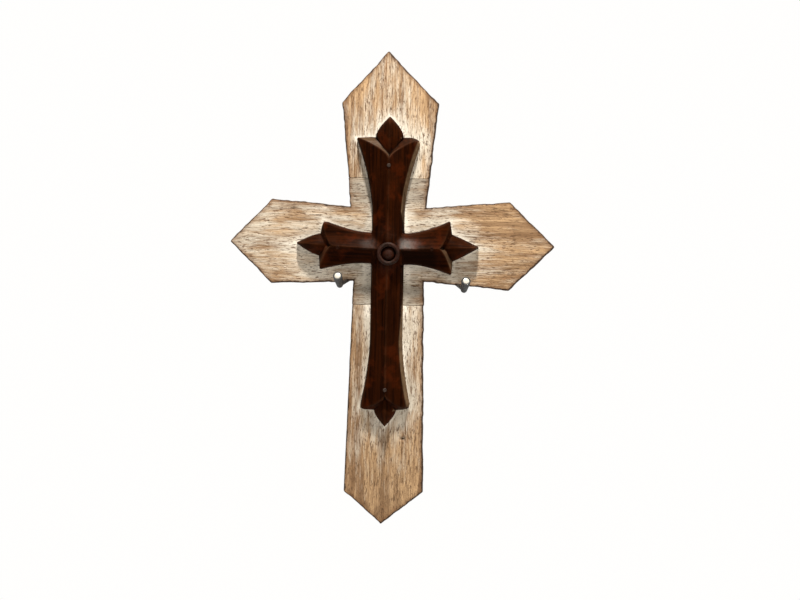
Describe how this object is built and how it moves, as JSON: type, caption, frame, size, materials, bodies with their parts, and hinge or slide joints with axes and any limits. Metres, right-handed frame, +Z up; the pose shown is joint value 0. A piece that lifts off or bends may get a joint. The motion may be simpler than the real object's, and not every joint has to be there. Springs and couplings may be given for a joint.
{
  "type": "altar cross",
  "caption": "Wooden Latin cross of three whitewashed boards with a dark carved cross on its front, resting on a two-hook wall bar.",
  "frame": {"origin": "midpoint of the two wall screw holes, on the wall plane, straight behind the crossing of the carved arms", "axes": "+X to the right as seen from the front, +Y into the wall so the front faces -Y, +Z up"},
  "size_m": [0.2785, 0.0926, 0.406],
  "materials": {
    "whitewashed_board": "matte whitewash rubbed thin over light wood, dark stained edges",
    "carved_wood": "semi-gloss dark mahogany stain on hand-carved wood",
    "dowel_wood": "plain unfinished beech",
    "brad_steel": "dull dark steel",
    "bar_paint": "satin black paint on steel",
    "wire_steel": "black coated steel wire",
    "sleeve_rubber": "black moulded sleeve",
    "tip_cap": "glossy off-white end button"
  },
  "bodies": {
    "wall_hook": {"hook_bar": "bar_paint", "hook_rod_left": "wire_steel", "hook_rod_right": "wire_steel", "hook_sleeve_left": "sleeve_rubber", "hook_sleeve_right": "sleeve_rubber", "hook_tip_left": "tip_cap", "hook_tip_right": "tip_cap"},
    "cross": {"crossbar": "whitewashed_board", "upright_top": "whitewashed_board", "upright_bottom": "whitewashed_board", "dowel_top_left": "dowel_wood", "dowel_top_right": "dowel_wood", "dowel_bottom_left": "dowel_wood", "dowel_bottom_right": "dowel_wood", "carved_upright": "carved_wood", "carved_crossarm": "carved_wood", "boss_ring": "carved_wood", "boss_button": "carved_wood", "brad_top": "brad_steel", "brad_bottom": "brad_steel", "brad_left": "brad_steel", "brad_right": "brad_steel"}
  },
  "joints": [
    {"name": "lift_off", "type": "slide", "parent": "wall_hook", "child": "cross", "axis": [0, -0.7071, 0.7071], "range_m": [0, 0.15]}
  ]
}
